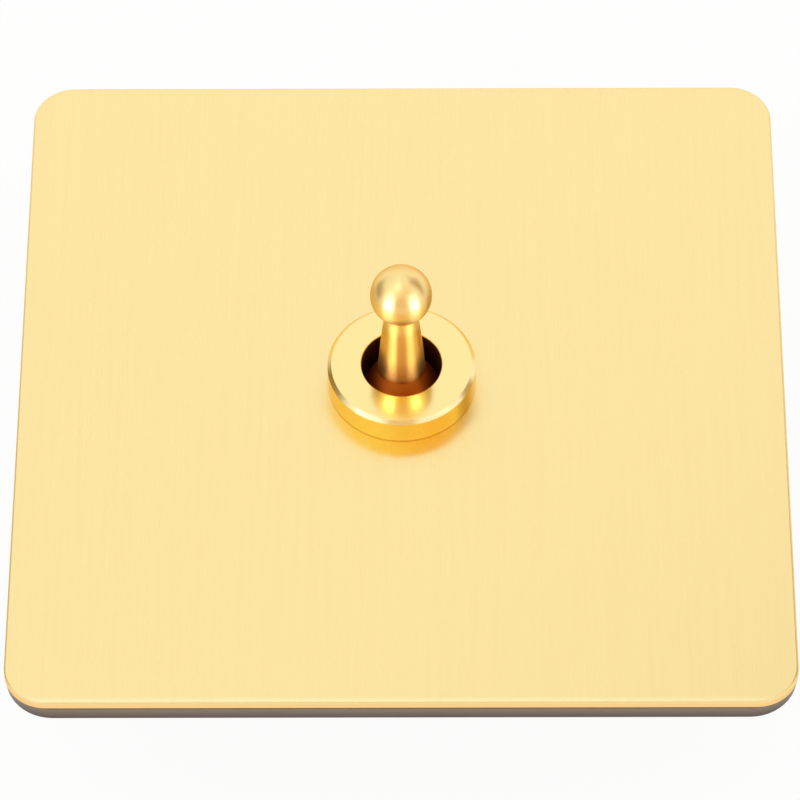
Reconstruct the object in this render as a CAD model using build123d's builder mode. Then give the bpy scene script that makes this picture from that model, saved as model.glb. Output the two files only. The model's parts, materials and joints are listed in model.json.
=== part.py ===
from build123d import *
import os
from math import cos, radians, sin, tan

os.makedirs("parts", exist_ok=True)

# A toggle light switch for a wall box, lying with its face up.
# The wall plane is Z = 0, +Z points out of the wall and +Y to the plate's top edge.

# Face plate and the frame behind it
plate_size = 86.0
plate_thickness = 1.0
plate_corner_radius = 4.7
plate_edge_round = 0.3
frame_thickness = 2.2
frame_inset = 0.05
frame_corner_radius = 5.3
frame_reveal = 0.35
frame_edge_round = 0.25
frame_skin = 1.0
frame_rim = 3.0
frame_rib = 1.6
frame_rib_pitch = 22.0
frame_rib_relief = 0.4
frame_pocket_corner = 2.5
frame_land_margin = 1.5

# Wall fixing holes in the frame
fixing_spacing = 60.3
fixing_hole_d = 4.2
fixing_head_d = 9.0
fixing_head_depth = 1.5
fixing_floor = 1.5
fixing_boss_wall = 1.5

# Collar, bushing and the key that stops the plate turning
collar_d = 16.6
collar_height = 3.4
collar_bevel = 0.42
collar_lip = 1.0
bore_edge_round = 0.15
bore_d = 9.0
bushing_wall = 1.5
bushing_clearance = 0.2
thread_clearance = 0.05
flange_step = 0.8
flange_thickness = 0.9
key_width = 1.6
key_depth = 0.7
key_clearance = 0.1

# Lever
pivot_depth = 5.0
lever_reach = 14.2
lever_lean = 11.3
knob_d = 6.9
neck_d = 3.75
foot_d = 5.4
stem_bulge = 0.06
neck_round = 0.2
ball_clearance = 0.2
pin_d = 1.6
pin_recess = 0.3
running_clearance = 0.05
press_clearance = 0.02
arm_d = 5.4
arm_length = 7.0

# Plunger and its spring in the lower end of the lever
plunger_d = 3.2
plunger_show = 1.0
plunger_tail = 2.2
plunger_bore_depth = 5.4
spring_wire_d = 0.3
spring_turns = 4

# See-saw contact cradle
rock_angle = 7.0
saddle_height = 3.45
saddle_depth = 0.75
saddle_gap = 0.15
cradle_thickness = 0.9
cradle_width = 6.0
cradle_half_length = 10.6
cheek_thickness = 0.8
cheek_radius = 1.6
rocker_pin_d = 1.5
rocker_pin_end = 0.5

# Contact tips
tip_y = 9.0
tip_d = 3.2
tip_thickness = 0.9
tip_round = 0.5
tip_gap = 0.1
fixed_tip_thickness = 0.8

# Terminals
block_x = 9.0
block_y = 8.0
block_height = 7.0
wire_d = 3.2
wire_roof = 1.0
wire_end_wall = 1.0
tab_x = 5.0
tab_y = 2.4
tab_inset = 0.1
post_y = 3.0
post_gap = 0.4
screw_d = 2.9
screw_length = 2.6
screw_head_d = 5.2
screw_head_height = 1.4
screw_slot = 0.8
screw_slot_depth = 0.7
sink_angle = 90.0
sunk_slot = 0.7
sunk_slot_depth = 0.6

# Housing, rear cover, insulating sheet and bracket
housing_wall = 3.8
housing_end_wall = 4.8
housing_edge = 1.0
barrier_width = 1.2
barrier_height = 1.0
barrier_rise = 9.0
cavity_margin = 2.0
cavity_side_gap = 0.4
cavity_drop = 3.9
floor_thickness = 1.0
pocket_gap = 0.2
wire_entry_d = 3.6
cover_thickness = 1.8
cover_gap = 0.2
cover_edge_round = 0.7
cover_screw_d = 2.2
cover_screw_length = 7.0
cover_screw_head_d = 4.0
insulator_thickness = 0.4
bracket_thickness = 1.0
bracket_bend = 0.9
strap_width = 20.0
strap_ear = 8.0
strap_corner = 2.0
leg_width = 18.0
leg_length = 9.5
leg_gap = 0.1
latch_width = 5.4
latch_rise = 0.8
latch_top = 5.2
latch_height = 2.0
latch_gap = 0.3

# Frame screws and the earth connection
frame_screw_d = 2.9
frame_screw_head_d = 5.5
frame_screw_length = 4.2
screw_sink = 0.1
earth_x = 6.4
earth_screw_d = 3.4
earth_head_d = 5.8
earth_head_height = 1.6
earth_washer_size = 7.0
earth_washer_thickness = 0.8

# Heights that follow from the sizes above
plate_front = frame_thickness + plate_thickness
collar_top = plate_front + collar_height
lip_under = collar_top - collar_lip
pivot_z = collar_top - pivot_depth
tip_radius = plunger_d / 2
tip_reach = arm_length + plunger_show
rocker_z = pivot_z - tip_reach - tip_radius - saddle_gap - saddle_height
cavity_floor = rocker_z - cavity_drop
pocket_roof = cavity_floor - floor_thickness
block_back = pocket_roof - block_height
wire_z = pocket_roof - wire_roof - wire_d / 2
cover_front = block_back - cover_gap
cover_back = cover_front - cover_thickness
housing_top = -bracket_thickness - insulator_thickness

# Widths and lengths that follow
frame_size = plate_size - 2 * frame_inset
bushing_d = bore_d + 2 * bushing_wall
bushing_hole_d = bushing_d + 2 * bushing_clearance
flange_d = bushing_d + 2 * flange_step
boss_d = fixing_head_d + 2 * fixing_boss_wall
cavity_width = flange_d + 2 * cavity_side_gap
cavity_length = 2 * (cradle_half_length + cavity_margin)
housing_width = cavity_width + 2 * housing_wall

# The lever leans towards the plate's top edge and the cradle is down on the other side
lean = radians(lever_lean)
rock = radians(rock_angle)
pivot = (0, 0, pivot_z)
lever_axis = (0, sin(lean), cos(lean))
lever_plane = Plane(origin=pivot, x_dir=(1, 0, 0), z_dir=lever_axis)
lever_section = Plane(origin=pivot, x_dir=(1, 0, 0), z_dir=(0, -cos(lean), sin(lean)))
cradle_up = (0, -sin(rock), cos(rock))
cradle_plane = Plane(origin=(0, 0, rocker_z), x_dir=(1, 0, 0), z_dir=cradle_up)
cradle_section = Plane(origin=(0, 0, rocker_z), x_dir=(0, cos(rock), sin(rock)), z_dir=(1, 0, 0))

# Arc of the saddle: the path of the plunger's round tip as the cradle sees it
tip_rise = pivot_z - tip_reach - rocker_z
end_y = tip_reach * sin(lean)
end_z = pivot_z - tip_reach * cos(lean) - rocker_z
path_half = end_y * cos(rock) - end_z * sin(rock)
path_sag = end_y * sin(rock) + end_z * cos(rock) - tip_rise
path_radius = (path_half**2 + path_sag**2) / (2 * path_sag)
saddle_radius = path_radius + tip_radius + saddle_gap
saddle_centre = saddle_height + saddle_radius
arm_top = saddle_height + saddle_depth
arm_under = arm_top - cradle_thickness

# Where the closed contact meets: the lowest point of the tilted moving tip
tip_core_z = arm_under - tip_thickness + tip_round
tip_flat = tip_d / 2 - tip_round
fixed_tip_y = tip_y * cos(rock) + tip_core_z * sin(rock)
closed_z = rocker_z - tip_y * sin(rock) + tip_core_z * cos(rock) - tip_flat * sin(rock) - tip_round
fixed_tip_top = closed_z - tip_gap
tab_top = fixed_tip_top - fixed_tip_thickness
terminal_y = fixed_tip_y + (block_y - tab_y) / 2 - tab_inset
housing_length = 2 * (terminal_y + block_y / 2 + pocket_gap + housing_end_wall)
cover_screw_y = housing_length / 2 - housing_end_wall / 2
strap_length = housing_length + 2 * strap_ear
ear_y = (housing_length + strap_ear) / 2
post_x = cradle_width - 2 * (cheek_thickness + post_gap)
leg_inner = housing_width / 2 + leg_gap
terminal_places = [(0, -terminal_y), (0, 0), (0, terminal_y)]

# Face plate: a sheet with a softened front edge and a key tab in its hole
with BuildPart() as face_plate:
    with BuildSketch(Plane.XY.offset(frame_thickness)):
        RectangleRounded(plate_size, plate_size, plate_corner_radius)
        Circle(bushing_hole_d / 2, mode=Mode.SUBTRACT)
        with Locations((0, -bushing_d / 2)):
            Rectangle(key_width, 2 * key_depth)
    extrude(amount=plate_thickness)
    fillet(face_plate.faces().sort_by(Axis.Z)[-1].outer_wire().edges(), plate_edge_round)
face_plate.part.label = "face_plate"
export_step(face_plate.part, "parts/face_plate.step")

# Backing frame: hollowed from behind, with a land for the bracket, bosses and ribs. A bevel under
# the plate leaves a shadow line, and the ribs stand back so that only the rim touches the wall.
fixing_places = [(-fixing_spacing / 2, 0), (fixing_spacing / 2, 0)]
ear_places = [(0, -ear_y), (0, ear_y)]
pocket_size = frame_size - 2 * frame_rim
land_width = 2 * (leg_inner + bracket_thickness + frame_land_margin)
land_length = strap_length + 2 * frame_land_margin
boss_back = frame_thickness - fixing_head_depth - fixing_floor
with BuildPart() as backing_frame:
    with BuildSketch():
        RectangleRounded(frame_size, frame_size, frame_corner_radius)
    extrude(amount=frame_thickness)
    fillet(backing_frame.faces().sort_by(Axis.Z)[0].outer_wire().edges(), frame_edge_round)
    chamfer(backing_frame.faces().sort_by(Axis.Z)[-1].outer_wire().edges(), frame_reveal)
    with BuildSketch():
        RectangleRounded(pocket_size, pocket_size, frame_pocket_corner)
        Rectangle(land_width, land_length, mode=Mode.SUBTRACT)
    extrude(amount=frame_rib_relief, mode=Mode.SUBTRACT)
    with BuildSketch():
        RectangleRounded(pocket_size, pocket_size, frame_pocket_corner)
        Rectangle(land_width, land_length, mode=Mode.SUBTRACT)
        with Locations(*fixing_places):
            Circle(boss_d / 2, mode=Mode.SUBTRACT)
        with GridLocations(0, frame_rib_pitch, 1, 3):
            Rectangle(frame_size, frame_rib, mode=Mode.SUBTRACT)
    extrude(amount=frame_thickness - frame_skin, mode=Mode.SUBTRACT)
    with BuildSketch(Plane.XY.offset(boss_back)):
        with Locations(*fixing_places):
            Circle(boss_d / 2)
    extrude(amount=frame_thickness - boss_back)
    with Locations(Plane.XY.offset(frame_thickness)):
        with Locations(*fixing_places):
            CounterBoreHole(fixing_hole_d / 2, fixing_head_d / 2, fixing_head_depth)
        with Locations(*ear_places):
            CounterSinkHole(
                frame_screw_d / 2 + bushing_clearance,
                frame_screw_head_d / 2 + screw_sink + running_clearance,
                counter_sink_angle=sink_angle,
            )
        Hole(bushing_hole_d / 2)
backing_frame.part.label = "backing_frame"
export_step(backing_frame.part, "parts/backing_frame.step")

# Collar: a bevelled ring nut whose lip covers the end of the bushing
thread_r = bushing_d / 2 + thread_clearance
with BuildPart() as collar_ring:
    with BuildSketch(Plane.XZ):
        with BuildLine():
            Polyline(
                (thread_r, plate_front),
                (collar_d / 2, plate_front),
                (collar_d / 2, collar_top - collar_bevel),
                (collar_d / 2 - collar_bevel, collar_top),
                (bore_d / 2, collar_top),
                (bore_d / 2, lip_under),
                (thread_r, lip_under),
                close=True,
            )
        make_face()
    revolve(axis=Axis.Z)
    bore_rim = collar_ring.faces().sort_by(Axis.Z)[-1].inner_wires()[0]
    fillet(bore_rim.edges(), bore_edge_round)
collar_ring.part.label = "collar_ring"
export_step(collar_ring.part, "parts/collar_ring.step")

# Bushing: a tube with a flange under the bracket, a keyway and holes for the lever's pin
with BuildPart() as threaded_bushing:
    with BuildSketch(Plane.XY.offset(-bracket_thickness - flange_thickness)):
        Circle(flange_d / 2)
    extrude(amount=flange_thickness)
    with BuildSketch(Plane.XY.offset(-bracket_thickness)):
        Circle(bushing_d / 2)
        with Locations((0, -bushing_d / 2)):
            Rectangle(
                key_width + 2 * key_clearance, 2 * (key_depth + key_clearance), mode=Mode.SUBTRACT
            )
    extrude(amount=lip_under + bracket_thickness)
    with BuildSketch(Plane.XY.offset(-bracket_thickness - flange_thickness)):
        Circle(bore_d / 2)
    extrude(until=Until.LAST, mode=Mode.SUBTRACT)
    with BuildSketch(Plane.YZ):
        with Locations((0, pivot_z)):
            Circle(pin_d / 2 + press_clearance)
    extrude(amount=bushing_d, both=True, mode=Mode.SUBTRACT)
threaded_bushing.part.label = "threaded_bushing"
export_step(threaded_bushing.part, "parts/threaded_bushing.step")

# Lever pin through the pivot ball
with BuildPart() as lever_pin:
    with BuildSketch(Plane.YZ):
        with Locations((0, pivot_z)):
            Circle(pin_d / 2)
    extrude(amount=bushing_d / 2 - pin_recess, both=True)
lever_pin.part.label = "lever_pin"
export_step(lever_pin.part, "parts/lever_pin.step")

# Lever: knob, swelling stem, pivot ball and bored lower arm turned in one piece
ball_r = bore_d / 2 - ball_clearance
neck_v = lever_reach - (knob_d**2 - neck_d**2) ** 0.5 / 2
foot_v = (ball_r**2 - foot_d**2 / 4) ** 0.5
arm_v = -((ball_r**2 - arm_d**2 / 4) ** 0.5)
plunger_bore_r = plunger_d / 2 + running_clearance
bore_end = plunger_bore_depth - arm_length
with BuildPart() as toggle_lever:
    with BuildSketch(lever_section):
        with BuildLine():
            knob_top = (0, lever_reach + knob_d / 2)
            knob_side = (knob_d / 2, lever_reach)
            neck = (neck_d / 2, neck_v)
            foot = (foot_d / 2, foot_v)
            swell = ((neck_d + foot_d) / 4 + stem_bulge, (neck_v + foot_v) / 2)
            shoulder = (arm_d / 2, arm_v)
            ThreePointArc(knob_top, knob_side, neck)
            ThreePointArc(neck, swell, foot)
            ThreePointArc(foot, (ball_r, 0), shoulder)
            Polyline(
                shoulder,
                (arm_d / 2, -arm_length),
                (plunger_bore_r, -arm_length),
                (plunger_bore_r, bore_end),
                (0, bore_end),
                knob_top,
            )
        make_face()
    revolve(axis=Axis(pivot, lever_axis))
    neck_centre = lever_plane.from_local_coords((0, 0, neck_v))
    neck_seam = toggle_lever.edges().filter_by(GeomType.CIRCLE)
    fillet(neck_seam.sort_by_distance(neck_centre)[0], neck_round)
    with BuildSketch(Plane.YZ):
        with Locations((0, pivot_z)):
            Circle(pin_d / 2 + running_clearance)
    extrude(amount=bore_d, both=True, mode=Mode.SUBTRACT)
toggle_lever.part.label = "toggle_lever"
export_step(toggle_lever.part, "parts/toggle_lever.step")

# Plunger: a round-nosed peg that slides in the lever's lower end
plunger_top = plunger_tail - arm_length
with BuildPart() as plunger:
    with BuildSketch(lever_section):
        with BuildLine():
            nose = (0, -tip_reach - tip_radius)
            nose_side = (tip_radius * sin(radians(45)), -tip_reach - tip_radius * cos(radians(45)))
            ThreePointArc(nose, nose_side, (tip_radius, -tip_reach))
            Polyline((tip_radius, -tip_reach), (tip_radius, plunger_top), (0, plunger_top), nose)
        make_face()
    revolve(axis=Axis(pivot, lever_axis))
plunger.part.label = "plunger"
export_step(plunger.part, "parts/plunger.step")

# Plunger spring: a coil between the plunger and the end of its bore
spring_r = plunger_d / 2 - spring_wire_d
spring_length = bore_end - plunger_top - spring_wire_d - 2 * running_clearance
spring_base = lever_plane.offset(plunger_top + spring_wire_d / 2 + running_clearance)
with BuildPart() as plunger_spring:
    with BuildLine():
        coil = Helix(
            spring_length / spring_turns,
            spring_length,
            spring_r,
            center=spring_base.origin,
            direction=lever_axis,
        )
    with BuildSketch(Plane(origin=coil @ 0, z_dir=coil % 0)):
        Circle(spring_wire_d / 2)
    sweep(path=coil, is_frenet=True)
plunger_spring.part.label = "plunger_spring"
export_step(plunger_spring.part, "parts/plunger_spring.step")

# Contact cradle: a see-saw strip with a saddle for the plunger and two pivot cheeks
with BuildPart() as contact_cradle:
    with BuildSketch(cradle_section):
        with Locations((0, saddle_centre)):
            Circle(saddle_radius + cradle_thickness)
        with Locations((0, arm_top)):
            Rectangle(
                4 * saddle_radius,
                4 * saddle_radius,
                align=(Align.CENTER, Align.MIN),
                mode=Mode.SUBTRACT,
            )
            Rectangle(2 * cradle_half_length, cradle_thickness, align=(Align.CENTER, Align.MAX))
        with Locations((0, saddle_centre)):
            Circle(saddle_radius, mode=Mode.SUBTRACT)
    extrude(amount=cradle_width / 2, both=True)
    for side in (-1, 1):
        cheek_x = side * (cradle_width / 2 - cheek_thickness)
        with BuildSketch(cradle_section.offset(cheek_x)):
            Circle(cheek_radius)
            Rectangle(2 * cheek_radius, arm_under, align=(Align.CENTER, Align.MIN))
            Circle(rocker_pin_d / 2 + running_clearance, mode=Mode.SUBTRACT)
        extrude(amount=side * cheek_thickness)
contact_cradle.part.label = "contact_cradle"
export_step(contact_cradle.part, "parts/contact_cradle.step")

# Moving contact tips under the cradle's ends
with BuildPart() as moving_contacts:
    with BuildSketch(cradle_plane.offset(arm_under)):
        with Locations((0, -tip_y), (0, tip_y)):
            Circle(tip_d / 2)
    extrude(amount=-tip_thickness)
    fillet(moving_contacts.edges().group_by(Axis((0, 0, 0), cradle_up))[0], tip_round)
moving_contacts.part.label = "moving_contacts"
export_step(moving_contacts.part, "parts/moving_contacts.step")

# Rocker pin held in the common terminal's post
with BuildPart() as rocker_pin:
    with BuildSketch(Plane.YZ):
        with Locations((0, rocker_z)):
            Circle(rocker_pin_d / 2)
    extrude(amount=cradle_width / 2 + rocker_pin_end, both=True)
rocker_pin.part.label = "rocker_pin"
export_step(rocker_pin.part, "parts/rocker_pin.step")


def terminal_block(y):
    # Brass block with a wire hole from the right and a screw hole from behind
    with BuildPart() as block:
        with BuildSketch(Plane.XY.offset(block_back)):
            with Locations((0, y)):
                Rectangle(block_x, block_y)
        extrude(amount=block_height)
        with BuildSketch(Plane.YZ.offset(block_x / 2)):
            with Locations((y, wire_z)):
                Circle(wire_d / 2)
        extrude(amount=-(block_x - wire_end_wall), mode=Mode.SUBTRACT)
        with BuildSketch(Plane.XY.offset(block_back)):
            with Locations((0, y)):
                Circle(screw_d / 2 + running_clearance)
        extrude(amount=wire_z - block_back, mode=Mode.SUBTRACT)
    return block.part


# Common terminal: its post rises through the floor to carry the cradle
with BuildPart() as common_terminal:
    add(terminal_block(0))
    with BuildSketch(Plane.YZ):
        with Locations((0, pocket_roof)):
            Rectangle(post_y, rocker_z - pocket_roof, align=(Align.CENTER, Align.MIN))
        with Locations((0, rocker_z)):
            Circle(post_y / 2)
            Circle(rocker_pin_d / 2 + press_clearance, mode=Mode.SUBTRACT)
    extrude(amount=post_x / 2, both=True)
common_terminal.part.label = "common_terminal"
export_step(common_terminal.part, "parts/common_terminal.step")

# Upper and lower terminals: a tab under each end of the cradle
for node, side in (("upper_terminal", 1), ("lower_terminal", -1)):
    with BuildPart() as end_terminal:
        add(terminal_block(side * terminal_y))
        with BuildSketch(Plane.XY.offset(pocket_roof)):
            with Locations((0, side * fixed_tip_y)):
                Rectangle(tab_x, tab_y)
        extrude(amount=tab_top - pocket_roof)
    end_terminal.part.label = node
    export_step(end_terminal.part, f"parts/{node}.step")

# Fixed contact tips on the tabs
with BuildPart() as fixed_contacts:
    with BuildSketch(Plane.XY.offset(tab_top)):
        with Locations((0, -fixed_tip_y), (0, fixed_tip_y)):
            Circle(tip_d / 2)
    extrude(amount=fixed_tip_thickness)
fixed_contacts.part.label = "fixed_contacts"
export_step(fixed_contacts.part, "parts/fixed_contacts.step")


def slotted_screws(places, seat_z, shank_d, shank_length, head_d, head_height):
    # Screws driven from behind: shanks above the seat, slotted heads below it
    with BuildPart() as screws:
        with BuildSketch(Plane.XY.offset(seat_z)):
            with Locations(*places):
                Circle(shank_d / 2)
        extrude(amount=shank_length)
        with BuildSketch(Plane.XY.offset(seat_z - head_height)):
            with Locations(*places):
                Circle(head_d / 2)
        extrude(amount=head_height)
        with BuildSketch(Plane.XY.offset(seat_z - head_height)):
            with Locations(*places):
                Rectangle(head_d * 2, screw_slot)
        extrude(amount=screw_slot_depth, mode=Mode.SUBTRACT)
    return screws.part


# Terminal screws, backed off so that the wire holes are free
with BuildPart() as terminal_screws:
    add(
        slotted_screws(
            terminal_places, block_back, screw_d, screw_length, screw_head_d, screw_head_height
        )
    )
terminal_screws.part.label = "terminal_screws"
export_step(terminal_screws.part, "parts/terminal_screws.step")

# Housing: a contact chamber above, terminal pockets below, latches on its sides
# and barrier ribs between the wire holes
with BuildPart() as switch_housing:
    with BuildSketch(Plane.XY.offset(cover_front)):
        RectangleRounded(housing_width, housing_length, housing_edge)
    extrude(amount=housing_top - cover_front)
    with BuildSketch(Plane.XY.offset(cavity_floor)):
        Rectangle(cavity_width, cavity_length)
    extrude(amount=housing_top - cavity_floor, mode=Mode.SUBTRACT)
    with BuildSketch(Plane.XY.offset(cover_front)):
        with Locations(*terminal_places):
            Rectangle(block_x + 2 * pocket_gap, block_y + 2 * pocket_gap)
    extrude(amount=pocket_roof - cover_front, mode=Mode.SUBTRACT)
    with BuildSketch(Plane.XY.offset(pocket_roof)):
        Rectangle(post_x + 2 * pocket_gap, post_y + 2 * pocket_gap)
        with Locations((0, -fixed_tip_y), (0, fixed_tip_y)):
            Rectangle(tab_x + 2 * pocket_gap, tab_y + 2 * pocket_gap)
    extrude(amount=floor_thickness, mode=Mode.SUBTRACT)
    with BuildSketch(Plane.YZ.offset(housing_width / 2)):
        with Locations((-terminal_y, wire_z), (0, wire_z), (terminal_y, wire_z)):
            Circle(wire_entry_d / 2)
    extrude(amount=-(housing_width - block_x) / 2, mode=Mode.SUBTRACT)
    with BuildSketch(Plane.XY.offset(cover_front)):
        with Locations((0, -cover_screw_y), (0, cover_screw_y)):
            Circle(cover_screw_d / 2 + press_clearance)
    extrude(amount=cover_screw_length, mode=Mode.SUBTRACT)
    with BuildSketch(Plane.XZ):
        with BuildLine():
            wall_x = housing_width / 2 - leg_gap
            Polyline(
                (wall_x, -latch_top),
                (wall_x + leg_gap, -latch_top),
                (wall_x + leg_gap + latch_rise, -latch_top - latch_height),
                (wall_x, -latch_top - latch_height),
                close=True,
            )
        make_face()
        mirror(about=Plane.YZ)
    extrude(amount=latch_width / 2, both=True)
    with BuildSketch(Plane.XY.offset(cover_front)):
        with Locations((wall_x, -terminal_y / 2), (wall_x, terminal_y / 2)):
            Rectangle(
                leg_gap + barrier_height, barrier_width, align=(Align.MIN, Align.CENTER)
            )
    extrude(amount=barrier_rise)
switch_housing.part.label = "switch_housing"
export_step(switch_housing.part, "parts/switch_housing.step")

# Rear cover: closes the pockets and leaves holes for the terminal screws
with BuildPart() as rear_cover:
    with BuildSketch(Plane.XY.offset(cover_back)):
        RectangleRounded(housing_width, housing_length, housing_edge)
        with Locations(*terminal_places):
            Circle(screw_head_d / 2 + bushing_clearance, mode=Mode.SUBTRACT)
    extrude(amount=cover_thickness)
    fillet(rear_cover.faces().sort_by(Axis.Z)[0].outer_wire().edges(), cover_edge_round)
    with Locations(Plane(origin=(0, 0, cover_back), z_dir=(0, 0, -1))):
        with Locations((0, -cover_screw_y), (0, cover_screw_y)):
            CounterSinkHole(
                cover_screw_d / 2 + running_clearance,
                cover_screw_head_d / 2 + screw_sink + running_clearance,
                counter_sink_angle=sink_angle,
            )
rear_cover.part.label = "rear_cover"
export_step(rear_cover.part, "parts/rear_cover.step")


def countersunk_screw(y, head_z, way, shank_d, head_d, length):
    # Slotted countersunk screw on a line along Z, from its flat head up (1) or down (-1)
    cone = (head_d - shank_d) / 2 / tan(radians(sink_angle / 2))
    place = (0, y, 0)
    with BuildPart() as screw:
        with BuildSketch(Plane(origin=place, x_dir=(1, 0, 0), z_dir=(0, -1, 0))):
            with BuildLine():
                Polyline(
                    (0, head_z),
                    (head_d / 2, head_z),
                    (shank_d / 2, head_z + way * cone),
                    (shank_d / 2, head_z + way * length),
                    (0, head_z + way * length),
                    close=True,
                )
            make_face()
        revolve(axis=Axis(place, (0, 0, 1)))
        with BuildSketch(Plane.XY.offset(head_z)):
            with Locations((0, y)):
                Rectangle(head_d, sunk_slot)
        extrude(amount=way * sunk_slot_depth, mode=Mode.SUBTRACT)
    return screw.part


# Cover screws, driven from behind
with BuildPart() as cover_screws:
    head_z = cover_back + screw_sink
    for y in (-cover_screw_y, cover_screw_y):
        add(countersunk_screw(y, head_z, 1, cover_screw_d, cover_screw_head_d, cover_screw_length))
cover_screws.part.label = "cover_screws"
export_step(cover_screws.part, "parts/cover_screws.step")

# Insulating sheet between the housing and the bracket
with BuildPart() as insulating_sheet:
    with BuildSketch(Plane.XY.offset(housing_top)):
        RectangleRounded(housing_width, housing_length, housing_edge)
        Circle(flange_d / 2 + bushing_clearance, mode=Mode.SUBTRACT)
    extrude(amount=insulator_thickness)
insulating_sheet.part.label = "insulating_sheet"
export_step(insulating_sheet.part, "parts/insulating_sheet.step")

# Bracket: a strap with two ears, and two legs that snap over the housing's latches
with BuildPart() as mounting_bracket:
    with BuildSketch(Plane.XY.offset(-bracket_thickness)):
        RectangleRounded(strap_width, strap_length, strap_corner)
        Rectangle(2 * (leg_inner + bracket_thickness), leg_width)
    extrude(amount=bracket_thickness)
    for side in (-1, 1):
        with BuildSketch(Plane.XY.offset(-leg_length)):
            with Locations((side * (leg_inner + bracket_thickness / 2), 0)):
                Rectangle(bracket_thickness, leg_width)
        extrude(amount=leg_length)
    bends = mounting_bracket.edges().filter_by(Axis.Y).group_by(Axis.Z)[-1].sort_by(Axis.X)
    fillet([bends[0], bends[-1]], bracket_bend)
    with BuildSketch(Plane.YZ):
        with Locations((0, -latch_top - latch_height / 2)):
            Rectangle(latch_width + 2 * latch_gap, latch_height + 2 * latch_gap)
    extrude(amount=housing_width, both=True, mode=Mode.SUBTRACT)
    with Locations(Plane.XY):
        Hole(bushing_d / 2 + thread_clearance)
        with Locations(*ear_places):
            Hole(frame_screw_d / 2 + running_clearance)
        with Locations((earth_x, ear_y)):
            Hole(earth_screw_d / 2 + running_clearance)
mounting_bracket.part.label = "mounting_bracket"
export_step(mounting_bracket.part, "parts/mounting_bracket.step")

# Frame screws, driven from the front under the plate
with BuildPart() as frame_screws:
    head_z = frame_thickness - screw_sink
    for y in (-ear_y, ear_y):
        add(countersunk_screw(y, head_z, -1, frame_screw_d, frame_screw_head_d, frame_screw_length))
frame_screws.part.label = "frame_screws"
export_step(frame_screws.part, "parts/frame_screws.step")

# Earth washer and earth screw on the upper ear
earth_seat = -bracket_thickness - earth_washer_thickness
with BuildPart() as earth_washer:
    with BuildSketch(Plane.XY.offset(earth_seat)):
        with Locations((earth_x, ear_y)):
            Rectangle(earth_washer_size, earth_washer_size)
            Circle(earth_screw_d / 2 + running_clearance, mode=Mode.SUBTRACT)
    extrude(amount=earth_washer_thickness)
earth_washer.part.label = "earth_washer"
export_step(earth_washer.part, "parts/earth_washer.step")

with BuildPart() as earth_screw:
    add(
        slotted_screws(
            [(earth_x, ear_y)], earth_seat, earth_screw_d, -earth_seat, earth_head_d, earth_head_height
        )
    )
earth_screw.part.label = "earth_screw"
export_step(earth_screw.part, "parts/earth_screw.step")
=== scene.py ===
import json
import math

import bpy
import numpy as np
from mathutils import Matrix, Vector


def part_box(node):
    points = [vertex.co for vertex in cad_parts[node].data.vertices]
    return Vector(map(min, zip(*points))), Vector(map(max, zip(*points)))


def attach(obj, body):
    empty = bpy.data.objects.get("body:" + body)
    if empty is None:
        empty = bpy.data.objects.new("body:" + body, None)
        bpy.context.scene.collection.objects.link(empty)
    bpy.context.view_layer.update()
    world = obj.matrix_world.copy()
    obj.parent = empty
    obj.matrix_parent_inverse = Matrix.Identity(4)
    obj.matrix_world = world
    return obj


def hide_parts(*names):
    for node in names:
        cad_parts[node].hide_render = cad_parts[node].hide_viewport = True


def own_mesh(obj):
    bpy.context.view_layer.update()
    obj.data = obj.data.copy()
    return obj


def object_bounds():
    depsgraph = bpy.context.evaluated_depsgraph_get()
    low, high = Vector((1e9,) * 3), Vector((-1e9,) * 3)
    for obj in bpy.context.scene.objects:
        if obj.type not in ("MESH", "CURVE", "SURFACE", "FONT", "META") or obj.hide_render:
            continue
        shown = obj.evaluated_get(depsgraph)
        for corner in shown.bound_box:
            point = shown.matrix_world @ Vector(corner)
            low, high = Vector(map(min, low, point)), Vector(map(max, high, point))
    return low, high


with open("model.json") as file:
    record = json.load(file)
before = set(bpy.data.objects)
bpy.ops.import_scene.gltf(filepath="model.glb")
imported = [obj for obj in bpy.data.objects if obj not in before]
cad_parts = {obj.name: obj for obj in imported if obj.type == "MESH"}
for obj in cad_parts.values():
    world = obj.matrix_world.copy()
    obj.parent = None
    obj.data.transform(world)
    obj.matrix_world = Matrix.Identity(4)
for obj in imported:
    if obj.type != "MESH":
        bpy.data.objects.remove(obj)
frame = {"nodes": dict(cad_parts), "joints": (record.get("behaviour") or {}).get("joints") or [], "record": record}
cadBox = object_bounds()
scene = bpy.context.scene
nodes = frame["nodes"]
joints = {joint["name"]: joint for joint in frame["joints"]}
mm = 0.001
print("frame loaded with", len(nodes), "nodes")


# Node tree helpers

def addNode(tree, kind, **settings):
    node = tree.nodes.new(kind)
    for key, value in settings.items():
        setattr(node, key, value)
    return node


def feed(tree, socket, value):
    # an output is linked to the socket, and a number, colour or vector is set on the socket itself
    if isinstance(value, bpy.types.NodeSocket):
        tree.links.new(value, socket)
    elif socket.type == "RGBA":
        socket.default_value = (*value, 1)
    else:
        socket.default_value = value


def mathNode(tree, operation, first, second=None):
    node = addNode(tree, "ShaderNodeMath", operation=operation)
    feed(tree, node.inputs[0], first)
    if second is not None:
        feed(tree, node.inputs[1], second)
    return node.outputs[0]


def vectorNode(tree, operation, first, second=None):
    node = addNode(tree, "ShaderNodeVectorMath", operation=operation)
    feed(tree, node.inputs[0], first)
    if second is not None:
        feed(tree, node.inputs[1], second)
    return node.outputs["Value" if operation in ("DOT_PRODUCT", "LENGTH") else "Vector"]


def splitVector(tree, vector):
    node = addNode(tree, "ShaderNodeSeparateXYZ")
    feed(tree, node.inputs[0], vector)
    return node.outputs


def joinVector(tree, *values):
    node = addNode(tree, "ShaderNodeCombineXYZ")
    for socket, value in zip(node.inputs, values):
        feed(tree, socket, value)
    return node.outputs[0]


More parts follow.
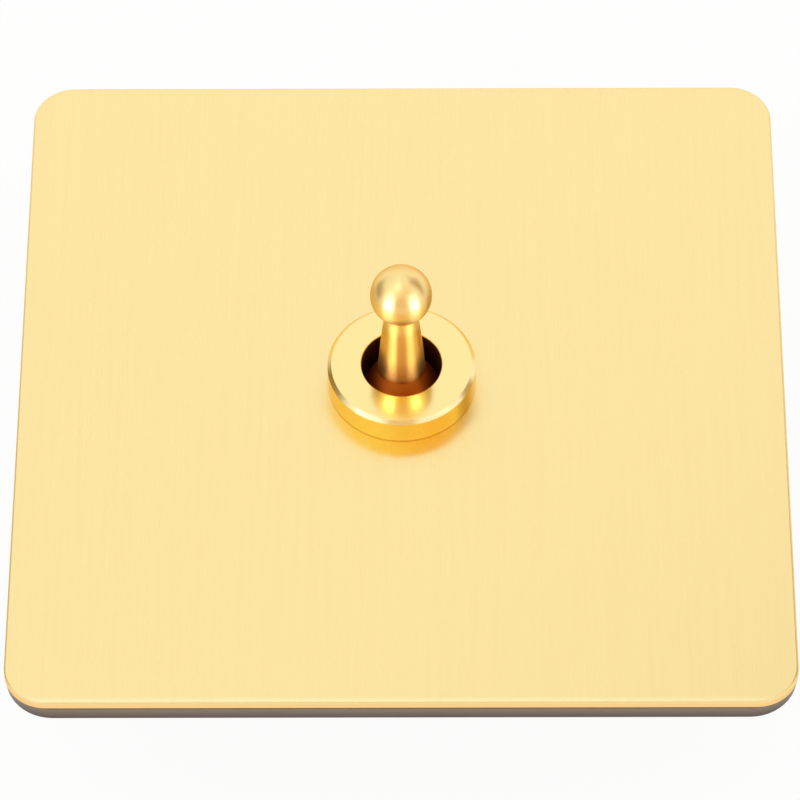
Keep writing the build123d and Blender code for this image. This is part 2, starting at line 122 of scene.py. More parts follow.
def noiseNode(tree, vector, detail, scale=1.0, dimensions="3D"):
    node = addNode(tree, "ShaderNodeTexNoise", noise_dimensions=dimensions)
    feed(tree, node.inputs["Vector"], vector)
    feed(tree, node.inputs["Scale"], scale)
    feed(tree, node.inputs["Detail"], detail)
    return node.outputs["Fac"]


def mixColours(tree, factor, low, high):
    node = addNode(tree, "ShaderNodeMix", data_type="RGBA")
    feed(tree, node.inputs["Factor"], factor)
    colourSockets = [socket for socket in node.inputs if socket.type == "RGBA"]
    for socket, value in zip(colourSockets, (low, high)):
        feed(tree, socket, value)
    return next(socket for socket in node.outputs if socket.type == "RGBA")


def mapRange(tree, value, low, high, fromLow=0.0, fromHigh=1.0, curve="LINEAR"):
    node = addNode(tree, "ShaderNodeMapRange", interpolation_type=curve)
    feed(tree, node.inputs["Value"], value)
    feed(tree, node.inputs["From Min"], fromLow)
    feed(tree, node.inputs["From Max"], fromHigh)
    feed(tree, node.inputs["To Min"], low)
    feed(tree, node.inputs["To Max"], high)
    return node.outputs["Result"]


def ramp(tree, value, start, end, curve="LINEAR"):
    # 0 at the start, 1 at the end
    return mapRange(tree, value, 0.0, 1.0, start, end, curve)


def newGroup(name, inputs, outputs):
    tree = bpy.data.node_groups.new(name, "ShaderNodeTree")
    tree.interface.new_socket("Vector", in_out="INPUT", socket_type="NodeSocketVector")
    for label in inputs:
        tree.interface.new_socket(label, in_out="INPUT", socket_type="NodeSocketFloat")
    for label in outputs:
        tree.interface.new_socket(label, in_out="OUTPUT", socket_type="NodeSocketFloat")
    return tree, tree.nodes.new("NodeGroupInput").outputs, tree.nodes.new("NodeGroupOutput").inputs


def useGroup(tree, group, vector, **values):
    node = addNode(tree, "ShaderNodeGroup", node_tree=group)
    feed(tree, node.inputs["Vector"], vector)
    for label, value in values.items():
        feed(tree, node.inputs[label], value)
    return node.outputs


# Shared effects

effects = {
    "fineLines": {"share": 1.0, "detail": 4.0},
    "broadLines": {"share": 0.2, "detail": 2.0},
    "ringDetail": 3.0,
    "patchDetail": 3.0,
    "speckDetail": 2.0,
    "wearSamples": 6,
    "wearNoise": 900.0,
    "wearDetail": 2.0,
    "wearNoiseEnds": (0.3, 0.7),
    "wearGain": (1.0, 7.0),
}


def makeLineGrain():
    # fine lines: noise that is stretched along Y and squeezed along X
    tree, given, made = newGroup("line grain", ("Across", "Along"), ("Fine", "Broad"))
    x, y, z = splitVector(tree, given["Vector"])
    along = mathNode(tree, "MULTIPLY", y, given["Along"])
    for label, lines in (("Fine", effects["fineLines"]), ("Broad", effects["broadLines"])):
        across = mathNode(tree, "MULTIPLY", given["Across"], lines["share"])
        squeezed = [mathNode(tree, "MULTIPLY", value, across) for value in (x, z)]
        stretched = joinVector(tree, squeezed[0], along, squeezed[1])
        feed(tree, made[label], noiseNode(tree, stretched, lines["detail"]))
    return tree


def makeTurnedGrain():
    # rings round the Z axis of the given vector: noise of the radius and of the height
    tree, given, made = newGroup("turned grain", ("Rings",), ("Fine", "Radius", "Height"))
    x, y, z = splitVector(tree, given["Vector"])
    squares = [mathNode(tree, "MULTIPLY", value, value) for value in (x, y)]
    radius = mathNode(tree, "SQRT", mathNode(tree, "ADD", *squares))
    rings = [mathNode(tree, "MULTIPLY", value, given["Rings"]) for value in (radius, z)]
    fine = noiseNode(tree, joinVector(tree, *rings), effects["ringDetail"], dimensions="2D")
    for label, value in (("Fine", fine), ("Radius", radius), ("Height", z)):
        feed(tree, made[label], value)
    return tree


def makeMottle():
    # cloudy patches and fine specks for surfaces that are never quite even
    tree, given, made = newGroup("mottle", ("Patches", "Specks"), ("Patch", "Speck"))
    patch = noiseNode(tree, given["Vector"], effects["patchDetail"], given["Patches"])
    speck = noiseNode(tree, given["Vector"], effects["speckDetail"], given["Specks"])
    feed(tree, made["Patch"], patch)
    feed(tree, made["Speck"], speck)
    return tree


def makeEdgeWear():
    # 0 on flats and 1 on sharp edges: how far a rounded normal leaves the true one
    tree, given, made = newGroup("edge wear", ("Width",), ("Mask",))
    bevel = addNode(tree, "ShaderNodeBevel", samples=effects["wearSamples"])
    feed(tree, bevel.inputs["Radius"], given["Width"])
    normal = addNode(tree, "ShaderNodeNewGeometry").outputs["Normal"]
    turn = mathNode(tree, "SUBTRACT", 1.0, vectorNode(tree, "DOT_PRODUCT", bevel.outputs[0], normal))
    noise = noiseNode(tree, given["Vector"], effects["wearDetail"], effects["wearNoise"])
    gain = mapRange(tree, noise, *effects["wearGain"], *effects["wearNoiseEnds"])
    clamp = addNode(tree, "ShaderNodeClamp")
    feed(tree, clamp.inputs["Value"], mathNode(tree, "MULTIPLY", turn, gain))
    feed(tree, made["Mask"], clamp.outputs[0])
    return tree


lineGrain = makeLineGrain()
turnedGrain = makeTurnedGrain()
mottle = makeMottle()
edgeWear = makeEdgeWear()
print("shared effects made:", len(bpy.data.node_groups))


# Materials

def startMaterial(name, metallic):
    material = bpy.data.materials.new(name)
    material.use_nodes = True
    tree = material.node_tree
    shader = tree.nodes["Principled BSDF"]
    shader.inputs["Metallic"].default_value = metallic
    place = addNode(tree, "ShaderNodeTexCoord").outputs["Object"]
    return material, tree, shader, place


def addBump(tree, shader, height, strength, depth):
    bump = addNode(tree, "ShaderNodeBump")
    feed(tree, bump.inputs["Strength"], strength)
    feed(tree, bump.inputs["Distance"], depth)
    feed(tree, bump.inputs["Height"], height)
    feed(tree, shader.inputs["Normal"], bump.outputs[0])


def smearAlong(tree, shader, heading, stretch):
    # reflections spread along a heading that is given in the piece's own axes
    feed(tree, shader.inputs["Anisotropic"], stretch)
    turned = addNode(tree, "ShaderNodeVectorTransform", vector_type="VECTOR",
                     convert_from="OBJECT", convert_to="WORLD")
    feed(tree, turned.inputs[0], heading)
    feed(tree, shader.inputs["Tangent"], turned.outputs[0])


def acrossTheRings(tree, place):
    # outwards and down at once: square to the tool marks on the top, the side and a bevel alike
    flat = vectorNode(tree, "MULTIPLY", place, (1, 1, 0))
    outward = vectorNode(tree, "NORMALIZE", flat)
    return vectorNode(tree, "SUBTRACT", outward, (0, 0, 1))


plateLow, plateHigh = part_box("face_plate")
plateFront = plateHigh.z
plateLook = {
    "light": (1.0, 0.806, 0.388),
    "deep": (0.986, 0.786, 0.37),
    "edgeTone": (1.0, 0.7, 0.31),
    "edgeDepth": 0.3 * mm,
    "edgeRough": 0.46,
    "edgeTint": (0.98, 0.8, 0.45),
    # painted highlight: a lighter tone on a strip along the plate's front edge
    "paintedHighlightTone": (1.0, 0.91, 0.5),
    "paintedHighlightWidth": 0.95 * mm,
    "rough": (0.24, 0.29),
    "smear": 0.8,
    "linesAcross": 8500.0,
    "linesAlong": 62.0,
    "bandEnds": (0.22, 0.78),
    "bump": (0.02, 0.02 * mm),
}


def brushedGold():
    material, tree, shader, place = startMaterial("brushed gold", 1.0)
    parts = splitVector(tree, place)
    lines = {"Across": plateLook["linesAcross"], "Along": plateLook["linesAlong"]}
    grain = useGroup(tree, lineGrain, place, **lines)
    band = ramp(tree, grain["Broad"], *plateLook["bandEnds"])
    tone = mixColours(tree, band, plateLook["deep"], plateLook["light"])
    highlightStart = plateLow.y + plateLook["paintedHighlightWidth"]
    onPaintedHighlight = ramp(tree, parts["Y"], highlightStart, plateLow.y, "SMOOTHSTEP")  # painted highlight along the front edge
    tone = mixColours(tree, onPaintedHighlight, tone, plateLook["paintedHighlightTone"])
    onFace = ramp(tree, parts["Z"], plateFront - plateLook["edgeDepth"], plateFront)  # 0 on the cut edge
    tone = mixColours(tree, onFace, plateLook["edgeTone"], tone)
    feed(tree, shader.inputs["Base Color"], tone)
    rough = mapRange(tree, grain["Fine"], *plateLook["rough"])
    feed(tree, shader.inputs["Roughness"], mapRange(tree, onFace, plateLook["edgeRough"], rough))
    feed(tree, shader.inputs["Specular Tint"], plateLook["edgeTint"])
    smearAlong(tree, shader, joinVector(tree, 1.0, 0.0, 0.0), plateLook["smear"])
    addBump(tree, shader, grain["Fine"], *plateLook["bump"])
    return material


boreLook = {
    # painted shade: the dark tone of the bore's far wall
    "paintedShade": (0.28, 0.12, 0.075),
    "nearWall": (0.85, 0.58, 0.2),
    "nearWallEnds": (-0.4 * mm, -3.4 * mm),
    "rough": (0.34, 0.46),
    "patches": 260.0,
    "specks": 5000.0,
    "bump": (0.12, 0.01 * mm),
}


def boreTone(tree, place):
    # painted shade on the far wall, the side that the lever leans to, and plain brass on the near wall
    nearWall = ramp(tree, splitVector(tree, place)["Y"], *boreLook["nearWallEnds"], "SMOOTHSTEP")
    return mixColours(tree, nearWall, boreLook["paintedShade"], boreLook["nearWall"])


def brassWithPaintedShade():
    # brass with painted shade on its far side
    material, tree, shader, place = startMaterial("brass with painted shade", 1.0)
    cloud = useGroup(tree, mottle, place, Patches=boreLook["patches"], Specks=boreLook["specks"])
    feed(tree, shader.inputs["Base Color"], boreTone(tree, place))
    feed(tree, shader.inputs["Roughness"], mapRange(tree, cloud["Patch"], *boreLook["rough"]))
    addBump(tree, shader, cloud["Speck"], *boreLook["bump"])
    return material


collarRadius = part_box("collar_ring")[1].x
collarLook = {
    "light": (1.0, 0.83, 0.375),
    "deep": (0.99, 0.805, 0.34),
    "bevelHighlightTone": (1.0, 0.84, 0.43),
    "bevelWidth": 0.42 * mm,
    "bevelRough": (0.13, 0.19),
    "edgeTint": (0.96, 0.82, 0.6),
    "sideReflectionTone": (1.0, 0.74, 0.165),
    "sideMargin": 0.03 * mm,
    "paintedFootShade": (0.8, 0.46, 0.08),
    "footShadeHeight": 0.15 * mm,
    "rough": (0.09, 0.15),
    "smear": 0.5,
    "rings": 5000.0,
    "boreRadius": 4.53 * mm,
    "bump": (0.04, 0.01 * mm),
}


def polishedGold():
    material, tree, shader, place = startMaterial("polished gold", 1.0)
    grain = useGroup(tree, turnedGrain, place, Rings=collarLook["rings"])
    onBevel = mathNode(tree, "GREATER_THAN", grain["Radius"], collarRadius - collarLook["bevelWidth"])
    onSide = mathNode(tree, "GREATER_THAN", grain["Radius"], collarRadius - collarLook["sideMargin"])
    inFootShade = mathNode(tree, "LESS_THAN", grain["Height"], plateFront + collarLook["footShadeHeight"])
    inBore = mathNode(tree, "LESS_THAN", grain["Radius"], collarLook["boreRadius"])
    tone = mixColours(tree, grain["Fine"], collarLook["deep"], collarLook["light"])
    # a lighter tone on the bevel: a painted highlight
    tone = mixColours(tree, onBevel, tone, collarLook["bevelHighlightTone"])
    # a deeper tone on the turned side: a painted reflection of the gold plate
    tone = mixColours(tree, onSide, tone, collarLook["sideReflectionTone"])
    # painted shade: a dark line where the collar stands on the plate
    tone = mixColours(tree, inFootShade, tone, collarLook["paintedFootShade"])
    # painted shade on the far wall of the bore
    tone = mixColours(tree, inBore, tone, boreTone(tree, place))
    feed(tree, shader.inputs["Base Color"], tone)
    polish = mapRange(tree, grain["Fine"], *collarLook["rough"])
    bevelRough = mapRange(tree, grain["Fine"], *collarLook["bevelRough"])
    boreRough = mapRange(tree, grain["Fine"], *boreLook["rough"])
    rough = mapRange(tree, onSide, mapRange(tree, onBevel, polish, bevelRough), polish)
    feed(tree, shader.inputs["Roughness"], mapRange(tree, inBore, rough, boreRough))
    feed(tree, shader.inputs["Specular Tint"], collarLook["edgeTint"])
    smearAlong(tree, shader, acrossTheRings(tree, place), collarLook["smear"])
    addBump(tree, shader, grain["Fine"], *collarLook["bump"])
    return material


leverAxis = Vector(joints["plunger_press"]["axis"])
leverPivot = Vector(joints["toggle_tilt"]["pos_m"])
leverLook = {
    "light": (1.0, 0.775, 0.345),
    "deep": (0.98, 0.735, 0.295),
    "stemTone": (0.9, 0.55, 0.15),
    "stemRough": (0.3, 0.36),
    "stemEnds": (9.6 * mm, 11.0 * mm),
    "neckTone": (1.0, 0.7, 0.21),
    "neckRough": 0.58,
    "neckEnds": (11.5 * mm, 12.4 * mm),
    "ballRough": (0.26, 0.32),
    "pivotShadeTone": (0.42, 0.09, 0.006),
    "pivotShadeRough": 0.48,
    "pivotShadeEnds": (4.2 * mm, 5.0 * mm),
    "edgeTint": (0.8, 0.55, 0.28),
    "smear": 0.85,
    "rings": 7000.0,
    "bump": (0.08, 0.012 * mm),
}


def satinGold():
    # the tone and roughness change with the distance from the pivot: painted shade on the pivot ball down in the
    # bore, then stem, neck and ball
    material, tree, shader, place = startMaterial("satin gold", 1.0)
    lean = (-leverAxis.angle(Vector((0, 0, 1))), 0, 0)
    upright = addNode(tree, "ShaderNodeMapping", vector_type="TEXTURE")  # stands the lever up
    feed(tree, upright.inputs["Location"], leverPivot)
    feed(tree, upright.inputs["Rotation"], lean)
    feed(tree, upright.inputs["Vector"], place)
    grain = useGroup(tree, turnedGrain, upright.outputs[0], Rings=leverLook["rings"])
    reach = vectorNode(tree, "LENGTH", upright.outputs[0])
    pastPivotShade = ramp(tree, reach, *leverLook["pivotShadeEnds"], "SMOOTHSTEP")
    pastStem = ramp(tree, reach, *leverLook["stemEnds"], "SMOOTHSTEP")
    pastNeck = ramp(tree, reach, *leverLook["neckEnds"])
    tone = mixColours(tree, grain["Fine"], leverLook["deep"], leverLook["light"])
    tone = mixColours(tree, pastNeck, leverLook["neckTone"], tone)
    tone = mixColours(tree, pastStem, leverLook["stemTone"], tone)
    # painted shade on the pivot ball and the stem's foot, down in the bore
    tone = mixColours(tree, pastPivotShade, leverLook["pivotShadeTone"], tone)
    feed(tree, shader.inputs["Base Color"], tone)
    rough = mapRange(tree, grain["Fine"], *leverLook["ballRough"])
    stemRough = mapRange(tree, grain["Fine"], *leverLook["stemRough"])
    rough = mapRange(tree, pastNeck, leverLook["neckRough"], rough)
    rough = mapRange(tree, pastStem, stemRough, rough)
    feed(tree, shader.inputs["Roughness"], mapRange(tree, pastPivotShade, leverLook["pivotShadeRough"], rough))
    feed(tree, shader.inputs["Specular Tint"], leverLook["edgeTint"])
    leaning = addNode(tree, "ShaderNodeMapping", vector_type="VECTOR")  # back to the lever's lean
    feed(tree, leaning.inputs["Rotation"], lean)
    feed(tree, leaning.inputs["Vector"], acrossTheRings(tree, upright.outputs[0]))
    smearAlong(tree, shader, leaning.outputs[0], leverLook["smear"])
    addBump(tree, shader, grain["Fine"], *leverLook["bump"])
    return material


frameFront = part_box("backing_frame")[1].z
plasticLook = {"patches": 120.0, "specks": 3500.0, "wearWidth": 0.3 * mm, "bumpStrength": 0.25}
plastics = {
    "frame_plastic": {
        "name": "grey-brown moulding", "rough": (0.3, 0.42), "speckDepth": 0.01 * mm,
        "dark": (0.152, 0.102, 0.062), "pale": (0.19, 0.134, 0.086), "worn": (0.25, 0.18, 0.12),
        # painted shade towards the wall
        "paintedFootShade": (0.05, 0.03, 0.021),
    },
    "case_plastic": {
        "name": "black moulding", "rough": (0.36, 0.5), "speckDepth": 0.015 * mm,
        "dark": (0.018, 0.018, 0.019), "pale": (0.03, 0.03, 0.031), "worn": (0.07, 0.07, 0.07),
    },
    "cover_plastic": {
        "name": "black cover", "rough": (0.42, 0.56), "speckDepth": 0.018 * mm,
        "dark": (0.022, 0.022, 0.023), "pale": (0.036, 0.036, 0.037), "worn": (0.08, 0.08, 0.08),
    },
    "fibre_sheet": {
        "name": "pressed fibre", "rough": (0.6, 0.8), "speckDepth": 0.02 * mm,
        "dark": (0.2, 0.07, 0.035), "pale": (0.3, 0.12, 0.06), "worn": (0.4, 0.2, 0.11),
    },
    "plunger_plastic": {
        "name": "natural nylon", "rough": (0.25, 0.38), "speckDepth": 0.006 * mm,
        "dark": (0.78, 0.74, 0.65), "pale": (0.86, 0.82, 0.74), "worn": (0.9, 0.87, 0.8),
    },
}


def mouldedPlastic(look):
    material, tree, shader, place = startMaterial(look["name"], 0.0)
    cloud = useGroup(tree, mottle, place, Patches=plasticLook["patches"], Specks=plasticLook["specks"])
    wear = useGroup(tree, edgeWear, place, Width=plasticLook["wearWidth"])
    tone = mixColours(tree, cloud["Patch"], look["dark"], look["pale"])
    tone = mixColours(tree, wear["Mask"], tone, look["worn"])
    if "paintedFootShade" in look:
        height = ramp(tree, splitVector(tree, place)["Z"], 0.0, frameFront, "SMOOTHSTEP")
        tone = mixColours(tree, height, look["paintedFootShade"], tone)  # painted shade, darker towards the wall
    feed(tree, shader.inputs["Base Color"], tone)
    feed(tree, shader.inputs["Roughness"], mapRange(tree, cloud["Speck"], *look["rough"]))
    addBump(tree, shader, cloud["Speck"], plasticLook["bumpStrength"], look["speckDepth"])
    return material


metalLook = {"patches": 260.0, "specks": 5000.0, "wearWidth": 0.2 * mm, "bump": (0.12, 0.01 * mm)}
metals = {
    "plain_brass": {
        "name": "machined brass", "rough": (0.24, 0.4),
        "dark": (0.7, 0.45, 0.17), "pale": (0.84, 0.58, 0.25), "worn": (0.93, 0.7, 0.36),
    },
    "zinc_steel": {
        "name": "zinc plated steel", "rough": (0.28, 0.42),
        "dark": (0.58, 0.58, 0.57), "pale": (0.72, 0.73, 0.74), "worn": (0.82, 0.83, 0.84),
    },
    "spring_steel": {
        "name": "drawn steel wire", "rough": (0.2, 0.3),
        "dark": (0.42, 0.42, 0.44), "pale": (0.56, 0.56, 0.58), "worn": (0.7, 0.7, 0.71),
    },
    "silver_tip": {
        "name": "silver alloy", "rough": (0.2, 0.32),
        "dark": (0.8, 0.79, 0.76), "pale": (0.9, 0.89, 0.86), "worn": (0.95, 0.94, 0.92),
    },
}


def platedMetal(look):
    material, tree, shader, place = startMaterial(look["name"], 1.0)
    cloud = useGroup(tree, mottle, place, Patches=metalLook["patches"], Specks=metalLook["specks"])
    wear = useGroup(tree, edgeWear, place, Width=metalLook["wearWidth"])
    tone = mixColours(tree, cloud["Patch"], look["dark"], look["pale"])
    tone = mixColours(tree, wear["Mask"], tone, look["worn"])
    feed(tree, shader.inputs["Base Color"], tone)
    feed(tree, shader.inputs["Roughness"], mapRange(tree, cloud["Patch"], *look["rough"]))
    addBump(tree, shader, cloud["Speck"], *metalLook["bump"])
    return material


finishes = {
    "brushed_gold": brushedGold(),
    "polished_brass": polishedGold(),
    "satin_brass": satinGold(),
    "blackened_brass": brassWithPaintedShade(),
}
finishes.update({slot: mouldedPlastic(look) for slot, look in plastics.items()})
finishes.update({slot: platedMetal(look) for slot, look in metals.items()})
slotOf = {part["node"]: part["material_slot"] for part in frame["record"]["subparts"]}
for nodeName, node in nodes.items():
    node.data.materials.clear()
    node.data.materials.append(finishes[slotOf[nodeName]])
print("materials given to", len(nodes), "nodes")


# Threads on the ends of the frame screws

threadLook = {
    "shankRadius": 1.45 * mm,
    "pitch": 0.5 * mm,
    "height": 0.14 * mm,
    "halfWidth": 0.17 * mm,
    "runOut": 0.25,
    "stepsPerTurn": 48,
    "sides": 10,
}


def closedTube(name, rings, ends):
    # rings of points joined one to the next, and fanned to a single point at either end
    count, sides = rings.shape[:2]
    points = np.concatenate([rings.reshape(-1, 3), ends])
    step = np.arange(sides)
    following = np.roll(step, -1)
    first = (np.arange(count - 1) * sides)[:, None]
    corners = [first + step, first + following, first + sides + following, first + sides + step]
    quads = np.stack(corners, axis=-1).reshape(-1, 4)
    last = (count - 1) * sides
    startFan = np.column_stack([following, step, np.full(sides, count * sides)])
    endFan = np.column_stack([last + step, last + following, np.full(sides, count * sides + 1)])
    mesh = bpy.data.meshes.new(name)
    mesh.from_pydata(points.tolist(), [], quads.tolist() + startFan.tolist() + endFan.tolist())
    mesh.shade_smooth()
    piece = bpy.data.objects.new(name, mesh)
    scene.collection.objects.link(piece)
    return piece


def screwThread(name, centre, low, high):
    # helix: the angle and the height grow together, and a lens-shaped section rides on the shank,
    # its size a root of a half sine wave along the way, so that both ends run out to a point
    turns = (high - low) / threadLook["pitch"]
    share = np.linspace(0, 1, int(turns * threadLook["stepsPerTurn"]))
    angle = 2 * np.pi * turns * share[1:-1, None]
    around = np.linspace(0, 2 * np.pi, threadLook["sides"], endpoint=False)[None, :]
    size = np.sin(np.pi * share[1:-1, None]) ** threadLook["runOut"]
    radius = threadLook["shankRadius"] + threadLook["height"] * size * np.cos(around)
    rise = low + (high - low) * share[1:-1, None] + threadLook["halfWidth"] * size * np.sin(around)
    x = centre[0] + radius * np.cos(angle)
    y = centre[1] + radius * np.sin(angle)
    endAngle = 2 * np.pi * turns * share[[0, -1]]
    ends = np.column_stack([
        centre[0] + threadLook["shankRadius"] * np.cos(endAngle),
        centre[1] + threadLook["shankRadius"] * np.sin(endAngle),
        [low, high],
    ])
    piece = closedTube(name, np.stack([x, y, rise], axis=-1), ends)
    piece.data.materials.append(finishes["zinc_steel"])
    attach(piece, "switch_body")


screwLow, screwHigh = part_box("frame_screws")
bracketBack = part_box("insulating_sheet")[1].z
screwY = screwHigh.y - screwHigh.x  # the outer edge of a head, less its radius
for threadName, y in (("thread_upper", screwY), ("thread_lower", -screwY)):
    screwThread(threadName, (0.0, y), screwLow.z + threadLook["halfWidth"], bracketBack)
print("screw threads made")


# Spring behind the plunger, carried rigidly on the lever

springLook = {
    "wireRadius": 0.15 * mm,
    "turns": 4,
    "stepsPerTurn": 40,
    "sides": 12,
}


def coilSpring(name, node):
    # helix round the lever's axis, between the ends that the CAD spring has along it,
    # with a round section that stands square to the wire's heading
    points = np.empty(3 * len(node.data.vertices))
    node.data.vertices.foreach_get("co", points)
    points = points.reshape(-1, 3) - np.array(leverPivot)
    axis = np.array(leverAxis)
    reach = points @ axis
    wireRadius = springLook["wireRadius"]
    coilRadius = np.linalg.norm(points - reach[:, None] * axis, axis=1).max() - wireRadius
    low, high = reach.min() + wireRadius, reach.max() - wireRadius
    share = np.linspace(0, 1, springLook["turns"] * springLook["stepsPerTurn"] + 1)[:, None]
    angle = 2 * np.pi * springLook["turns"] * share
    side = np.array((1.0, 0.0, 0.0))  # square to the axis, because the lever leans along Y
    outward = np.cos(angle) * side + np.sin(angle) * np.cross(axis, side)
    centres = np.array(leverPivot) + (low + (high - low) * share) * axis + coilRadius * outward
    heading = np.gradient(centres, axis=0)
    upward = np.cross(outward, heading / np.linalg.norm(heading, axis=1)[:, None])
    around = np.linspace(0, 2 * np.pi, springLook["sides"], endpoint=False)[None, :, None]
    section = np.cos(around) * outward[:, None] + np.sin(around) * upward[:, None]
    piece = closedTube(name, centres[:, None] + wireRadius * section, centres[[0, -1]])
    piece.data.materials.append(finishes["spring_steel"])
    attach(piece, "lever")
    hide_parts("plunger_spring")
    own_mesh(piece)


coilSpring("coil_spring", nodes["plunger_spring"])
print("spring made")


# Floor and studio

studio = {
    "floorSize": 6.0,
    "floorGap": 0.05 * mm,
    "floorTone": (0.94, 0.94, 0.94),
    "floorRough": 0.9,
    "floorGlow": 0.93,
    "roomTone": (1.0, 1.0, 1.0),
    "roomLevel": 1.0,
    "boxDistance": 0.52,
    "cardDistance": 0.9,
    "flagDistance": 0.3,
    "lowFlagDistance": 0.27,
    "cardColumns": 41,
    "cardRows": 33,
    "cardLift": 2 * mm,
}
softboxes = {
    "left softbox": {
        "azimuth": -44.0, "elevation": 14.0, "size": (0.32, 0.28), "level": 2.05,
        "lights": "all but the plate",
    },
    "right softbox": {
        "azimuth": 48.0, "elevation": 11.0, "size": (0.3, 0.23), "level": 1.95,
        "lights": "all but the plate",
    },
    "top softbox": {
        "azimuth": -60.0, "elevation": 78.0, "size": (0.26, 0.22), "level": 0.5,
        "lights": "all but the plate",
    },
    "left stripe": {
        "azimuth": -44.0, "elevation": -18.0, "size": (0.28, 0.28), "level": 7.0,
        "lights": "lever alone",
    },
    "right stripe": {
        "azimuth": 48.0, "elevation": -18.0, "size": (0.27, 0.26), "level": 6.5,
        "lights": "lever alone",
    },
}
cards = {
    "front card": {
        "tone": (0.82, 0.58, 0.35), "azimuths": (-28.0, 28.0), "elevations": (-2.0, 64.0),
        "distance": studio["cardDistance"], "softSides": 0.3, "softTop": 0.35, "softFoot": 0.02,
    },
    "left flag": {
        "tone": (0.3, 0.2, 0.06), "azimuths": (-140.0, -68.0), "elevations": (-8.0, 38.0),
        "distance": studio["flagDistance"], "softSides": 0.35, "softTop": 0.6, "softFoot": 0.02,
    },
    "right flag": {
        "tone": (0.45, 0.31, 0.16), "azimuths": (88.0, 142.0), "elevations": (16.0, 70.0),
        "distance": studio["flagDistance"], "softSides": 0.35, "softTop": 0.35, "softFoot": 0.15,
    },
    "low flag": {
        "tone": (0.5, 0.34, 0.16), "azimuths": (80.0, 116.0), "elevations": (4.0, 24.0),
        "distance": studio["lowFlagDistance"], "softSides": 0.35, "softTop": 0.3, "softFoot": 0.3,
    },
    "high card": {
        "tone": (0.95, 0.66, 0.4), "azimuths": (-26.0, 104.0), "elevations": (40.0, 74.0),
        "distance": studio["cardDistance"], "softSides": 0.25, "softTop": 0.35, "softFoot": 0.3,
    },
    "back card": {
        "tone": (1.0, 0.79, 0.68), "azimuths": (140.0, 220.0), "elevations": (-12.0, 26.0),
        "distance": studio["cardDistance"], "softSides": 0.3, "softTop": 0.7, "softFoot": 0.02,
    },
}


def makeFloor():
    # one square face under the part, which mixes a matt white with its own glow
    half = studio["floorSize"] / 2
    height = cadBox[0].z - studio["floorGap"]
    corners = [(-half, -half, height), (half, -half, height), (half, half, height), (-half, half, height)]
    mesh = bpy.data.meshes.new("floor")
    mesh.from_pydata(corners, [], [(0, 1, 2, 3)])
    floor = bpy.data.objects.new("floor", mesh)
    scene.collection.objects.link(floor)
    material = bpy.data.materials.new("white floor")
    material.use_nodes = True
    tree = material.node_tree
    shader = tree.nodes["Principled BSDF"]
    feed(tree, shader.inputs["Base Color"], studio["floorTone"])
    feed(tree, shader.inputs["Roughness"], studio["floorRough"])
    feed(tree, shader.inputs["Specular IOR Level"], 0.0)
    blend = addNode(tree, "ShaderNodeMixShader")
    feed(tree, blend.inputs[0], studio["floorGlow"])
    feed(tree, blend.inputs[1], shader.outputs[0])
    feed(tree, blend.inputs[2], addNode(tree, "ShaderNodeEmission").outputs[0])
    oneWay = addNode(tree, "ShaderNodeMixShader")  # clear when it is looked at from below
    feed(tree, oneWay.inputs[0], addNode(tree, "ShaderNodeNewGeometry").outputs["Backfacing"])
    feed(tree, oneWay.inputs[1], blend.outputs[0])
    feed(tree, oneWay.inputs[2], addNode(tree, "ShaderNodeBsdfTransparent").outputs[0])
    feed(tree, tree.nodes["Material Output"].inputs["Surface"], oneWay.outputs[0])
    mesh.materials.append(material)


def direction(azimuth, elevation):
    # azimuth 0 is the camera's side and 90 is +X, in degrees
    turn, rise = np.radians(azimuth), np.radians(elevation)
    return np.stack([np.sin(turn) * np.cos(rise), -np.cos(turn) * np.cos(rise), np.sin(rise)], axis=-1)


def smoothStep(share):
    share = np.clip(share, 0, 1)
    return share * share * (3 - 2 * share)


def makeCard(name, card):
    # a patch of a sphere round the object, its tone fading to white all round
    columns, rows = studio["cardColumns"], studio["cardRows"]
    across, up = np.meshgrid(np.linspace(0, 1, columns), np.linspace(0, 1, rows))
    azimuths = card["azimuths"][0] + across * np.ptp(card["azimuths"])
    elevations = card["elevations"][0] + up * np.ptp(card["elevations"])
    points = card["distance"] * direction(azimuths, elevations)
    points[..., 2] = np.maximum(points[..., 2], cadBox[0].z + studio["cardLift"])
    level = smoothStep(np.minimum(across, 1 - across) / card["softSides"])
    level = level * smoothStep((1 - up) / card["softTop"]) * smoothStep(up / card["softFoot"])
    tones = 1 + level[..., None] * (np.array(card["tone"]) - 1)
    first = (np.arange(rows - 1)[:, None] * columns + np.arange(columns - 1)).ravel()
    quads = np.column_stack([first, first + 1, first + columns + 1, first + columns])
    mesh = bpy.data.meshes.new(name)
    mesh.from_pydata(points.reshape(-1, 3).tolist(), [], quads.tolist())
    shade = mesh.color_attributes.new("shade", "FLOAT_COLOR", "POINT")
    shade.data.foreach_set("color", np.insert(tones.reshape(-1, 3), 3, 1, axis=1).ravel())
    board = bpy.data.objects.new(name, mesh)
    scene.collection.objects.link(board)
    board.visible_camera = False
    board.visible_shadow = False
    material = bpy.data.materials.new(name)
    material.use_nodes = True
    tree = material.node_tree
    tree.nodes.remove(tree.nodes["Principled BSDF"])
    glow = addNode(tree, "ShaderNodeEmission")
    painted = addNode(tree, "ShaderNodeVertexColor", layer_name="shade")
    feed(tree, glow.inputs["Color"], painted.outputs[0])
    feed(tree, tree.nodes["Material Output"].inputs["Surface"], glow.outputs[0])
    mesh.materials.append(material)


def linkLight(nodeName, state):
    links = bpy.data.collections.new(nodeName + " " + state.lower())
    links.objects.link(nodes[nodeName])
    links.collection_objects[0].light_linking.link_state = state
    return links


lightLinks = {
    "all but the plate": linkLight("face_plate", "EXCLUDE"),  # it would mirror a lamp as a white sheet
    "lever alone": linkLight("toggle_lever", "INCLUDE"),  # for the light that the plate mirrors up at it
}


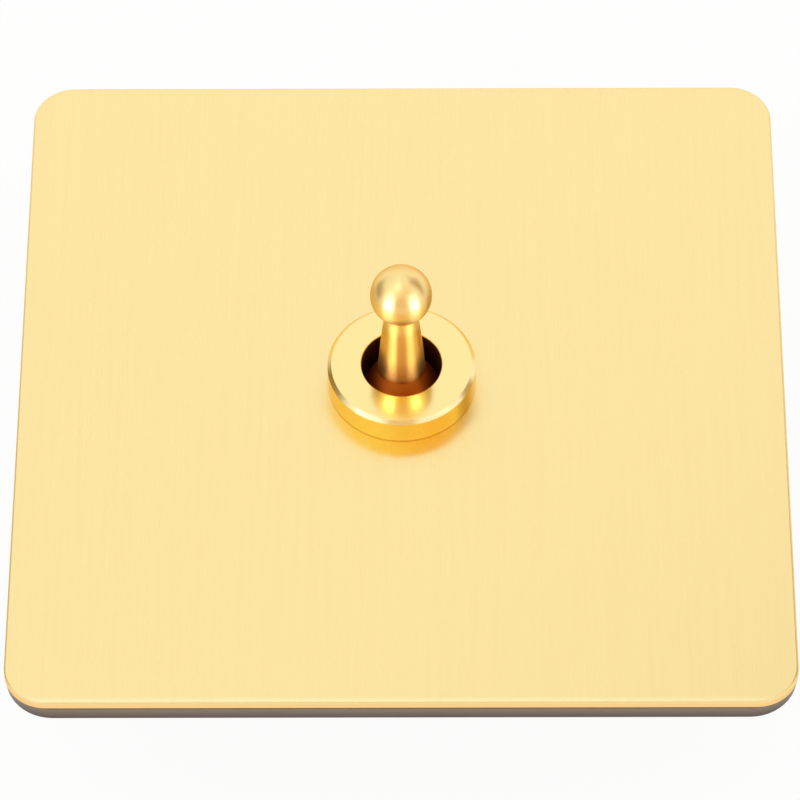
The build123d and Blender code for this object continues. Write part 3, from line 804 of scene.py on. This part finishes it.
def makeSoftbox(name, softbox):
    lamp = bpy.data.lights.new(name, "AREA")
    lamp.shape = "RECTANGLE"
    lamp.size, lamp.size_y = softbox["size"]
    lamp.energy = softbox["level"] * math.pi * lamp.size * lamp.size_y  # watts for that radiance
    box = bpy.data.objects.new(name, lamp)
    back = Vector(direction(softbox["azimuth"], softbox["elevation"]).tolist())
    box.location = back * studio["boxDistance"]
    box.rotation_euler = back.to_track_quat("Z", "Y").to_euler()
    box.visible_camera = False
    box.light_linking.receiver_collection = lightLinks[softbox["lights"]]
    if softbox["lights"] == "lever alone":
        box.light_linking.blocker_collection = lightLinks["lever alone"]
    scene.collection.objects.link(box)


def makeRoom():
    world = bpy.data.worlds.new("white room")
    world.use_nodes = True
    background = world.node_tree.nodes["Background"]
    feed(world.node_tree, background.inputs["Color"], studio["roomTone"])
    feed(world.node_tree, background.inputs["Strength"], studio["roomLevel"])
    scene.world = world


makeFloor()
for boxName, softbox in softboxes.items():
    makeSoftbox(boxName, softbox)
for cardName, card in cards.items():
    makeCard(cardName, card)
makeRoom()
scene.view_settings.view_transform = "Standard"
print("studio made")


# Camera

view = {
    "elevation": 53.597,
    "yaw": 0.583,
    "roll": -0.599,
    "focalPixels": 5229.9,
    "imagePixels": 800.0,
    "distance": 590.5 * mm,
    "target": (-0.21 * mm, -0.2 * mm, 0.0),
    "sensor": 36.0,
    "clipStart": 10 * mm,
}


def placeCamera():
    data = bpy.data.cameras.new("camera")
    data.sensor_width = view["sensor"]
    data.lens = view["sensor"] * view["focalPixels"] / view["imagePixels"]
    data.clip_start = view["clipStart"]
    camera = bpy.data.objects.new("camera", data)
    scene.collection.objects.link(camera)
    yaw = math.radians(view["yaw"])
    back = Vector(direction(view["yaw"], view["elevation"]).tolist())
    right = Vector((math.cos(yaw), math.sin(yaw), 0))
    level = Matrix((right, back.cross(right), back)).transposed()
    roll = Matrix.Rotation(math.radians(view["roll"]), 3, "Z")
    stand = Vector(view["target"]) + back * view["distance"]
    camera.matrix_world = Matrix.LocRotScale(stand, level @ roll, None)
    scene.camera = camera


placeCamera()
print("camera placed")
